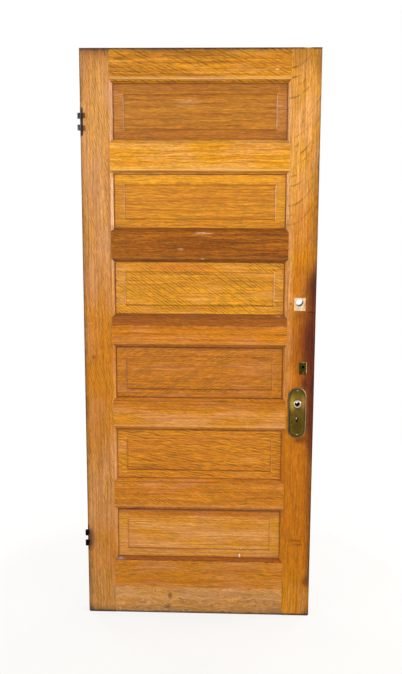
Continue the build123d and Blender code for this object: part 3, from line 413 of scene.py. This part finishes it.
crossRails = {
    "cross_rail_1": {
        "pale": "#f4c273",
        "mouldings": [(1786.7, 1, 0.17, 0.40, 0.0), (1688.7, -1, 0.25, 0.50, 0.50)],
        "grain": "x", "seed": 4, "light": "#eeae5c", "mid": "#e29d47", "dark": "#cf8933",
        "poreShade": (0.76, 1.2),
        "fleck": {"angle": 6, "period": 9.0, "length": 50.0, "from": 0.50, "amount": 0.25},
    },
    "cross_rail_2": {
        "pale": "#b98a5c",
        "mouldings": [(1472.3, 1, 0.12, 0.40, 0.0), (1374.3, -1, 0.05, 0.30, 0.10)],
        "grain": "x", "seed": 5, "light": "#b06806", "mid": "#9c5600", "dark": "#824300",
        "coat": 0.22, "dirtAndShadeAmount": 0.5,
        "fleck": {"angle": 8, "period": 8.0, "length": 36.0, "from": 0.48, "amount": 0.36},
        "marks": [
            {"at": (15, 1467), "half": (46, 5), "soft": 0.8, "amount": 0.75, "colour": "#d9b394"},
            {"at": (-70, 1411), "half": (18, 7), "soft": 0.8, "amount": 0.7, "colour": "#c59a74"},
            {"at": (12, 1376), "half": (10, 5), "soft": 0.8, "amount": 0.75, "colour": "#d9b394"},
        ],
    },
    "cross_rail_3": {
        "pale": "#e2a565",
        "mouldings": [(1158.0, 1, 0.17, 0.40, 0.0), (1060.0, -1, 0.10, 0.35, 0.20)],
        "grain": "x", "seed": 6, "light": "#de944b", "mid": "#d18336", "dark": "#c17529",
        "poreShade": (0.78, 1.18), "dirtAndShadeAmount": 0.55,
        "fleck": {"angle": 14, "period": 7.0, "sway": 4.0, "length": 24.0, "from": 0.45, "amount": 0.36},
        "marks": [
            {"at": (0, 1175), "half": (2200, 50), "soft": 0.12, "amount": 0.9, "colour": "#9a561a"},
            {"at": (290, 1168), "half": (26, 6), "soft": 0.9, "amount": 0.6, "colour": "#d3a57f"},
        ],
    },
    "cross_rail_4": {
        "pale": "#e8b26c",
        "mouldings": [(843.7, 1, 0.10, 0.40, 0.0), (745.7, -1, 0.0, 0.08, 0.40)],
        "grain": "x", "seed": 7, "light": "#e4a05a", "mid": "#d9924b", "dark": "#ca823e",
        "poreShade": (0.82, 1.14), "dirtAndShadeAmount": 0.25,
        "fleck": {"angle": 16, "period": 7.0, "sway": 4.0, "length": 24.0, "from": 0.45, "amount": 0.34},
        "marks": [
            {"at": (0, 850), "half": (2200, 60), "soft": 0.8, "amount": 0.6, "colour": "#b76a21"},
            {"at": (75, 846), "half": (60, 6), "soft": 0.9, "amount": 0.6, "colour": "#6e563c"},
            # a painted highlight along the rail's lower arris
            {"at": (0, 740), "half": (2200, 9), "soft": 0.6, "amount": 0.5, "colour": "#ee9c46"},
        ],
    },
    "cross_rail_5": {
        "pale": "#d8a063",
        "mouldings": [(529.3, 1, 0.2, 0.45, 0.0), (431.3, -1, 0.0, 0.08, 0.30)],
        "grain": "x", "seed": 8, "light": "#da934e", "mid": "#d0843b", "dark": "#c0752e",
        "poreShade": (0.8, 1.16), "dirtAndShadeAmount": 0.25,
        "marks": [
            # a painted highlight along the rail's lower arris
            {"at": (0, 425), "half": (2200, 9), "soft": 0.6, "amount": 0.6, "colour": "#ee9850"},
        ],
        "fleck": {"angle": 22, "period": 7.0, "sway": 4.0, "length": 22.0, "from": 0.44, "amount": 0.4},
    },
}
for railName, rail in crossRails.items():
    dress(railName, oakBoard("quarterSawnOak_" + railName, rail))

# mm: the first panel's middle, half the opening, and the field's half width, top and foot from the middle
panelPlaces = {"first": 1894.83, "pitch": 314.33, "opening": (310.0, 97.2), "field": (270.5, 59.4, -65.1),
               "lineWidth": 5.0, "openingLimit": 20.0, "fieldLimit": 1.0, "sideAt": 293, "sideHalf": (24, 92),
               "sideSoft": 0.5, "coatRoughness": 0.45}
# sides are a painted light on the margins: its colour and how much of it is on the left and right; lines are
# how much of the top is hidden, and how dark the painted shadow lines at the opening and the field are
panels = {
    "panel_1": {
        "sides": ("#d8935a", 0.35, 0.45), "lines": (0.0, 0.75, 0.4), "poreShade": (0.74, 1.22),
        "grain": "x", "seed": 9, "light": "#c6832e", "mid": "#b8721a", "dark": "#a35d06",
        "fleck": {"angle": 4, "period": 9.0, "length": 50.0, "from": 0.50, "amount": 0.26},
        "marks": [
            # a painted sheen high on the field
            {"at": (-45, 1925), "half": (90, 36), "soft": 1, "amount": 0.35, "colour": "#d9ab7e"},
            {"at": (0, 1815), "half": (900, 22), "soft": 0.8, "amount": 0.5, "colour": "#a65c00"},
            {"at": (0, 1976), "half": (900, 20), "soft": 0.8, "amount": 0.55, "colour": "#9c5800"},
        ],
    },
    "panel_2": {
        "sides": ("#f2ad48", 0.2, 0.65), "lines": (0.0, 0.95, 0.4), "poreShade": (0.76, 1.2),
        "grain": "x", "seed": 10, "light": "#d98e0c", "mid": "#cd8000", "dark": "#bc7000",
        "fleck": {"angle": 4, "period": 9.0, "length": 50.0, "from": 0.50, "amount": 0.26},
        "marks": [
            {"at": (0, 1659), "half": (2200, 20), "soft": 0.5, "amount": 0.6, "colour": "#f2aa3c"},
            {"at": (-75, 1647), "half": (24, 5), "soft": 0.9, "amount": 0.7, "colour": "#9a5a17"},
        ],
    },
    "panel_3": {
        "sides": ("#f2b064", 0.45, 0.15), "lines": (0.5, 0.95, 0.4), "poreShade": (0.8, 1.16),
        "grain": "x", "seed": 11, "light": "#e8a54a", "mid": "#da9336", "dark": "#c9821c",
        "fleck": {"angle": 33, "period": 9.0, "length": 34.0, "from": 0.42, "amount": 0.5},
        "marks": [
            {"at": (-60, 1342), "half": (220, 20), "soft": 0.8, "amount": 0.85, "colour": "#d67c0c"},
            {"at": (-60, 1319), "half": (260, 5), "soft": 0.8, "amount": 0.7, "colour": "#a5641c"},
            {"at": (67, 1341), "half": (14, 4), "soft": 0.8, "amount": 0.8, "colour": "#f2b455"},
            {"at": (67, 1321), "half": (16, 4), "soft": 0.8, "amount": 0.8, "colour": "#f2b455"},
            {"at": (-304, 1292), "half": (6, 5), "soft": 0.6, "amount": 0.9, "colour": "#4d2a0c"},
        ],
    },
    "panel_4": {
        "sides": ("#da8c3c", 0.6, 0.4), "lines": (3.0, 0.9, 0.45), "poreShade": (0.78, 1.18),
        "grain": "x", "seed": 12, "light": "#ce8641", "mid": "#c27933", "dark": "#b26b26",
        "fleck": {"angle": -24, "period": 8.0, "length": 26.0, "from": 0.45, "amount": 0.45},
    },
    "panel_5": {
        "sides": ("#eaa250", 0.65, 0.05), "lines": (4.0, 0.6, 0.45), "poreShade": (0.78, 1.18),
        "grain": "x", "seed": 13, "light": "#e1963e", "mid": "#d3852d", "dark": "#c1721e",
        "wander": (110.0, 40.0, 10.0),
        "fleck": {"angle": 12, "period": 10.0, "length": 44.0, "from": 0.44, "amount": 0.5},
        "marks": [
            {"at": (-210, 588), "half": (90, 22), "soft": 1, "amount": 0.4, "colour": "#7a4614"},
        ],
    },
    "panel_6": {
        "sides": ("#eaa452", 0.6, 0.6), "lines": (6.0, 0.72, 0.4), "poreShade": (0.84, 1.13),
        "grain": "x", "seed": 14, "light": "#e4a564", "mid": "#dd9750", "dark": "#d08940",
        "fleck": {"angle": 20, "period": 7.0, "sway": 4.0, "length": 22.0, "from": 0.45, "amount": 0.32},
        "marks": [
            {"at": (0, 404), "half": (900, 22), "soft": 0.8, "amount": 0.6, "colour": "#ac5a0c"},
            {"at": (-257, 417), "half": (46, 6), "soft": 0.8, "amount": 0.8, "colour": "#5a3510"},
            {"at": (157, 232), "half": (3.4, 12), "soft": 0.3, "amount": 1.0,
             "colour": "#fff4e4", "crisp": True},
            {"at": (162, 264), "half": (3.0, 3.4), "soft": 0.3, "amount": 1.0,
             "colour": "#fff0dc", "crisp": True},
        ],
    },
}
for number, (panelName, panel) in enumerate(panels.items()):
    middle = panelPlaces["first"] - number * panelPlaces["pitch"]
    halfX, halfZ = panelPlaces["opening"]
    hidden, edgeAmount, fieldAmount = panel["lines"]
    opening = (halfX, halfZ - hidden, -halfZ)
    panel["sight"] = {"middle": middle, "lines": [
        (opening, panelPlaces["lineWidth"], edgeAmount, panelPlaces["openingLimit"]),
        (panelPlaces["field"], panelPlaces["lineWidth"], fieldAmount, panelPlaces["fieldLimit"])]}
    panel["coatRoughness"] = panelPlaces["coatRoughness"]
    # painted light lifting each panel's margins at the left and right
    sideLightColour, leftAmount, rightAmount = panel["sides"]
    margins = ((-panelPlaces["sideAt"], leftAmount), (panelPlaces["sideAt"], rightAmount))
    panel.setdefault("marks", []).extend(
        {"at": (x, middle), "half": panelPlaces["sideHalf"], "soft": panelPlaces["sideSoft"],
         "amount": amount, "colour": sideLightColour, "square": True} for x, amount in margins)
    dress(panelName, oakBoard("quarterSawnOak_" + panelName, panel))

# The bottom rail's boards are plain-sawn: their grain runs in long waves with few flecks
bottomBoards = {
    "bottom_rail_upper_board": {
        "pale": "#d09a5c", "mouldings": [(215.0, 1, 0.2, 0.5, 0.0)],
        "grain": "x", "seed": 15, "light": "#da934c", "mid": "#ce863e", "dark": "#c07832",
        "poreShade": (0.8, 1.16),
        "wander": (150.0, 50.0, 22.0),
        "fleck": {"angle": 10, "period": 7.0, "sway": 4.0, "length": 26.0, "from": 0.46, "amount": 0.34},
        "marks": [
            {"at": (0, 222), "half": (2200, 10), "soft": 0.4, "amount": 0.7, "colour": "#8c3c00"},
            {"at": (-300, 218), "half": (26, 7), "soft": 0.8, "amount": 0.7, "colour": "#b3a08c"},
            {"at": (0, 104), "half": (2200, 4), "soft": 0.5, "amount": 0.8, "colour": "#d89a58"},
        ],
    },
    "bottom_rail_lower_board": {
        "grain": "x", "seed": 16, "light": "#e2a96c", "mid": "#d0965c", "dark": "#b27f52",
        "poreShade": (0.8, 1.16),
        "wander": (80.0, 40.0, 34.0),
        "fleck": {"angle": 20, "period": 9.0, "length": 40.0, "from": 0.50, "amount": 0.22},
        "marks": [
            {"at": (-110, 72), "half": (12, 22), "soft": 0.9, "amount": 0.7, "colour": "#5d4128"},
            {"at": (-119, 27), "half": (24, 14), "soft": 0.9, "amount": 0.7, "colour": "#5d4632"},
            {"at": (0, -2), "half": (2200, 12), "soft": 0.6, "amount": 0.9, "colour": "#2e2a24"},
            {"at": (0, 6), "half": (2200, 34), "soft": 1, "amount": 0.4, "colour": "#6b4a2c"},
            {"at": (0, 104), "half": (2200, 4), "soft": 0.5, "amount": 0.8, "colour": "#d89a58"},
        ],
    },
}
for boardName, board in bottomBoards.items():
    dress(boardName, oakBoard("plainSawnOak_" + boardName, board))
print("oak boards done")

# Pressed brass and rolled or cast iron, dulled with handling: patches of tarnish, a rough sheen, a few rubs
metalFinish = {
    "patch": 11.0, "patchDetail": 5, "patchRoughness": 0.65, "patchSteps": (0.35, 0.65),  # mm
    "sheenSteps": (0.3, 0.7), "rag": 0.15,
    "grit": 1.6, "gritDetail": 3, "gritDepth": 0.00008, "bump": 0.5,  # mm, depth in m
    "dirtAndShade": "#1c150c", "dirtAndShadeReach": 0.003, "dirtAndShadeFrom": (0.8, 0.4), "dirtAndShadeAmount": 0.8,  # reach in m
}


def plateRim(tree, place, colour, rim):  # round a plate with half-round ends, and the line inside it; its raised rim is painted with light and shade, darker on the left and lighter on the right
    x, z = rim["at"]
    axes = addNode(tree, "SeparateXYZ", {0: place})
    sideX = addNode(tree, "Math", {0: axes["X"], 1: x}, operation="SUBTRACT")[0]
    sideZ = addNode(tree, "Math", {0: axes["Z"], 1: z}, operation="SUBTRACT")[0]
    sideZ = addNode(tree, "Math", {0: sideZ}, operation="ABSOLUTE")[0]
    sideZ = addNode(tree, "Math", {0: sideZ, 1: rim["straight"]}, operation="SUBTRACT")[0]
    sideZ = addNode(tree, "Math", {0: sideZ, 1: 0}, operation="MAXIMUM")[0]
    reach = addNode(tree, "CombineXYZ", {0: sideX, 1: sideZ})[0]
    reach = addNode(tree, "VectorMath", {0: reach}, operation="LENGTH")["Value"]
    inner, foot, crest = rim["from"] - rim["lineWidth"], rim["from"], rim["from"] + rim["rise"]
    line = addNode(tree, "MapRange", {"Value": reach, "From Min": inner, "From Max": foot})[0]
    raised = addNode(tree, "MapRange", {"Value": reach, "From Min": foot, "From Max": crest})[0]
    lit = addNode(tree, "MapRange", {"Value": sideX, "From Min": -rim["halfWidth"],
                                     "From Max": rim["halfWidth"]})[0]
    left, right = linear(rim["left"]), linear(rim["right"])
    paintedLight = addNode(tree, "Mix", {0: lit, 6: left, 7: right}, data_type="RGBA")[2]
    colour = addNode(tree, "Mix", {0: line, 6: colour, 7: linear(rim["line"])}, data_type="RGBA")[2]
    return addNode(tree, "Mix", {0: raised, 6: colour, 7: paintedLight}, data_type="RGBA")[2]


def oldMetal(name, metal):
    finish = {**metalFinish, **metal}
    material, tree, shader = newMaterial(name, Metallic=1.0)
    place = placeInMm(tree)
    patch = addNode(tree, "TexNoise", {"Vector": place, "Scale": 1 / finish["patch"],
                                       "Detail": finish["patchDetail"],
                                       "Roughness": finish["patchRoughness"]})[0]
    low, high = finish["patchSteps"]
    blend = addNode(tree, "MapRange", {"Value": patch, "From Min": low, "From Max": high})[0]
    dark, light = linear(metal["dark"]), linear(metal["light"])
    colour = addNode(tree, "Mix", {0: blend, 6: dark, 7: light}, data_type="RGBA")[2]
    if "rim" in metal:
        colour = plateRim(tree, place, colour, metal["rim"])
    colour = paintMarks(tree, colour, place, metal.get("marks", ()), finish["rag"])
    closeness = addNode(tree, "AmbientOcclusion", {"Distance": finish["dirtAndShadeReach"]},
                        samples=closenessSamples)["AO"]
    low, high = finish["dirtAndShadeFrom"]
    dirtAndShade = addNode(tree, "MapRange", {"Value": closeness, "From Min": low, "From Max": high,
                                      "To Max": finish["dirtAndShadeAmount"]})[0]
    colour = addNode(tree, "Mix", {0: dirtAndShade, 6: colour, 7: linear(finish["dirtAndShade"])}, data_type="RGBA")[2]
    tree.links.new(colour, shader.inputs["Base Color"])
    low, high = finish["sheenSteps"]
    smooth, dull = metal["roughness"]
    rough = addNode(tree, "MapRange", {"Value": patch, "From Min": low, "From Max": high, "To Min": dull,
                                       "To Max": smooth})[0]
    tree.links.new(rough, shader.inputs["Roughness"])
    grit = addNode(tree, "TexNoise", {"Vector": place, "Scale": 1 / finish["grit"],
                                      "Detail": finish["gritDetail"]})[0]
    bump = addNode(tree, "Bump", {"Height": grit, "Strength": finish["bump"],
                                  "Distance": finish["gritDepth"]})[0]
    tree.links.new(bump, shader.inputs["Normal"])
    return material


knobX, knobZ = 365, 840.1  # mm, the knob's axis
escutcheon = {
    "dark": "#5c4a18", "light": "#887430", "roughness": (0.34, 0.6),
    "rim": {"at": (knobX, knobZ - 33.8), "straight": 63.25, "from": 28.4, "halfWidth": 28,
            "lineWidth": 4, "rise": 1, "line": "#2e240c", "left": "#655e55", "right": "#a28e67"},
    "marks": [
        # a painted glint to the left of the collar
        {"at": (knobX - 18, knobZ + 2), "half": (17, 44), "soft": 0.9, "amount": 0.95, "colour": "#d2b04c"},
        {"at": (knobX - 2, knobZ + 24), "half": (24, 20), "soft": 0.9, "amount": 0.75, "colour": "#9e8034"},
        {"at": (knobX + 22, knobZ + 6), "half": (16, 42), "soft": 0.9, "amount": 0.95, "colour": "#ba8e50"},
        {"at": (knobX - 6, knobZ - 30), "half": (18, 13), "soft": 0.9, "amount": 0.8, "colour": "#93632c"},
        {"at": (knobX + 2, knobZ - 82), "half": (28, 46), "soft": 0.8, "amount": 0.6, "colour": "#5e3c14"},
        {"at": (knobX + 8, knobZ - 98), "half": (8, 30), "soft": 1, "amount": 0.6, "colour": "#5c5616"},
        {"at": (knobX, knobZ), "half": (18.5, 18.5), "soft": 0.4, "amount": 0.7, "colour": "#4a3012"},
        {"at": (knobX, knobZ), "half": (14.6, 14.6), "soft": 0.08, "amount": 1.0, "colour": "#f6e2c4"},
    ],
}
dress("front_escutcheon", oldMetal("tarnishedBrassFrontPlate", escutcheon))
backPlate = {"dark": "#5a4c1c", "light": "#94802f", "roughness": (0.34, 0.6)}
dress("back_escutcheon", oldMetal("tarnishedBrassBackPlate", backPlate))
thumbX, thumbZ = 383, 979.6  # mm, the thumb turn's axis
thumbPlate = {
    "dark": "#353012", "light": "#574f1c", "roughness": (0.4, 0.65),
    "marks": [
        # painted highlights on the right and top of the plate's bevel, and painted shade in the spindle hole
        {"at": (thumbX + 13.2, thumbZ - 4), "half": (2.4, 24), "soft": 0.3, "amount": 0.9,
         "colour": "#c2a878", "square": True},
        {"at": (thumbX, thumbZ), "half": (6.2, 6.2), "soft": 0.3, "amount": 1.0, "colour": "#060503"},
        {"at": (thumbX, thumbZ + 18.6), "half": (15, 2.2), "soft": 0.3, "amount": 0.8,
         "colour": "#a58c5c", "square": True},
    ],
}
dress("thumb_turn_plate", oldMetal("tarnishedBrassThumbPlate", thumbPlate))
# Cast and turned brass, rubbed by use: warmer and brighter than the plates
brass = oldMetal("agedBrass", {"dark": "#6a5420", "light": "#b0924a", "roughness": (0.3, 0.5)})
for node in ("escutcheon_screws", "thumb_plate_screws", "lock_front", "lock_front_screws", "thumb_bolt_front",
             "thumb_bolt_front_screws", "latch_bolt", "dead_bolt", "thumb_bolt"):
    dress(node, brass)
# Rolled steel: dull grey where the blacking is worn off the upper hinge, near black on the lower one
upperHinge = {"dark": "#3a3a3b", "light": "#565658", "roughness": (0.6, 0.8)}
for node in ("upper_hinge_leaf", "upper_hinge_screws"):
    dress(node, oldMetal("wornSteel_" + node, upperHinge))
lowerHinge = {"dark": "#100f0e", "light": "#1e1c1a", "roughness": (0.6, 0.8)}
for node in ("lower_hinge_leaf", "lower_hinge_screws"):
    dress(node, oldMetal("blackenedSteel_" + node, lowerHinge))
# Iron cast in sand is dark and grainy, and drawn spring wire is bright and even
iron = oldMetal("castIron", {"dark": "#2b2724", "light": "#4a423b", "roughness": (0.5, 0.75)})
for node in ("lock_case", "lock_cap", "lock_cap_screw", "knob_hub", "thumb_bolt_case", "thumb_bolt_cap",
             "thumb_pinion"):
    dress(node, iron)
spring = oldMetal("springSteel", {"dark": "#6e6e70", "light": "#a4a4a6", "roughness": (0.25, 0.4)})
dress("dead_bolt_spring", spring)
print("metal done")

# The stage: a pale floor that keeps the shadow, white round about, soft light from the sides, front and back
stage = {"floor": 16.0, "floorShade": "#7c7870", "floorRoughness": 0.9, "dome": 0.16, "mirror": 0.3,
         "fade": (0.9, 2.6), "white": (0.5, 1.0), "glow": (1.58, 1.0)}  # m from the door; near and far


def seenShare(tree, mirror):  # 1 to the camera and through glass, less in a reflection
    path = addNode(tree, "LightPath")
    seen = addNode(tree, "Math", {0: path["Is Glossy Ray"], 1: mirror}, operation="MULTIPLY")[0]
    seen = addNode(tree, "Math", {0: seen, 1: path["Is Camera Ray"]}, operation="MAXIMUM")[0]
    return addNode(tree, "Math", {0: seen, 1: path["Is Transmission Ray"]}, operation="MAXIMUM")[0]


floorMesh = bpy.data.meshes.new("floor")
half = stage["floor"] / 2
floorCorners = [(-half, -half, 0), (half, -half, 0), (half, half, 0), (-half, half, 0)]
floorMesh.from_pydata(floorCorners, [], [(0, 1, 2, 3)])
floor = bpy.data.objects.new("floor", floorMesh)
scene.collection.objects.link(floor)
floorMaterial, floorTree, floorShader = newMaterial("paleFloor", Roughness=stage["floorRoughness"])
floorShader.inputs["Base Color"].default_value = linear(stage["floorShade"])
floorPlace = addNode(floorTree, "TexCoord")["Object"]
away = addNode(floorTree, "VectorMath", {0: floorPlace}, operation="LENGTH")["Value"]
near, far = stage["fade"]
white, strength = (addNode(floorTree, "MapRange", {"Value": away, "From Min": near, "From Max": far,
                                                   "To Min": nearby, "To Max": distant})[0]
                   for nearby, distant in (stage["white"], stage["glow"]))
seen = seenShare(floorTree, stage["mirror"])
share = addNode(floorTree, "Math", {0: seen, 1: white}, operation="MULTIPLY")[0]
glow = addNode(floorTree, "Emission", {"Strength": strength})[0]
mixed = addNode(floorTree, "MixShader", {0: share, 1: floorShader.outputs[0], 2: glow})[0]
floorTree.links.new(mixed, floorTree.nodes["Material Output"].inputs["Surface"])
floorMesh.materials.append(floorMaterial)

world = bpy.data.worlds.new("studio")
scene.world = world
world.use_nodes = True
worldTree = world.node_tree
seen = seenShare(worldTree, stage["mirror"])
level = addNode(worldTree, "MapRange", {"Value": seen, "To Min": stage["dome"]})[0]
worldTree.nodes["Background"].inputs["Color"].default_value = (1, 1, 1, 1)
worldTree.links.new(level, worldTree.nodes["Background"].inputs["Strength"])

lamps = {
    "leftBox": {"place": (-2.6, -0.1, 1.9), "aim": (0, -0.1, 1.9), "size": (2.4, 2.2), "watts": 90},
    "rightBox": {"place": (2.6, -0.1, 1.9), "aim": (0, -0.1, 1.9), "size": (2.4, 2.2), "watts": 146},
    "frontLeftBox": {"place": (-2.8, -3.2, 2.3), "aim": (0, 0, 0.4), "size": (1.6, 2.2), "watts": 85},
    "frontRightBox": {"place": (2.8, -3.2, 2.3), "aim": (0, 0, 0.4), "size": (1.6, 2.2), "watts": 85},
    "backLeftBox": {"place": (-2.8, 3.2, 2.3), "aim": (0, 0, 0.8), "size": (1.6, 2.2), "watts": 85},
    "backRightBox": {"place": (2.8, 3.2, 2.3), "aim": (0, 0, 0.8), "size": (1.6, 2.2), "watts": 85},
}
for lampName, lamp in lamps.items():
    light = bpy.data.lights.new(lampName, "AREA")
    light.shape = "RECTANGLE"
    light.size, light.size_y = lamp["size"]
    light.energy = lamp["watts"]
    holder = bpy.data.objects.new(lampName, light)
    holder.location = lamp["place"]
    holder.rotation_euler = (Vector(lamp["aim"]) - Vector(lamp["place"])).to_track_quat("-Z", "Y").to_euler()
    scene.collection.objects.link(holder)

# The camera stands where the picture was taken from
view = {"place": (0.12, -3.125, 1.605), "yaw": -2.09, "pitch": 9.448, "roll": 0.194, "focalPixels": 856.0,
        "imageHeight": 674.0, "sensor": 36.0}
yaw, pitch, roll = (math.radians(view[key]) for key in ("yaw", "pitch", "roll"))
forward = Vector((math.sin(yaw) * math.cos(pitch), math.cos(yaw) * math.cos(pitch), -math.sin(pitch)))
sideways = Vector((math.cos(yaw), -math.sin(yaw), 0))
upright = sideways.cross(forward)
right = math.cos(roll) * sideways + math.sin(roll) * upright
up = math.cos(roll) * upright - math.sin(roll) * sideways
cameraData = bpy.data.cameras.new("camera")
cameraData.sensor_width = view["sensor"]
cameraData.lens = view["focalPixels"] / view["imageHeight"] * view["sensor"]
camera = bpy.data.objects.new("camera", cameraData)
turn = Matrix((right, up, -forward)).transposed()
camera.matrix_world = Matrix.Translation(view["place"]) @ turn.to_4x4()
scene.collection.objects.link(camera)
scene.camera = camera
scene.view_settings.view_transform = "Standard"
print("stage done")
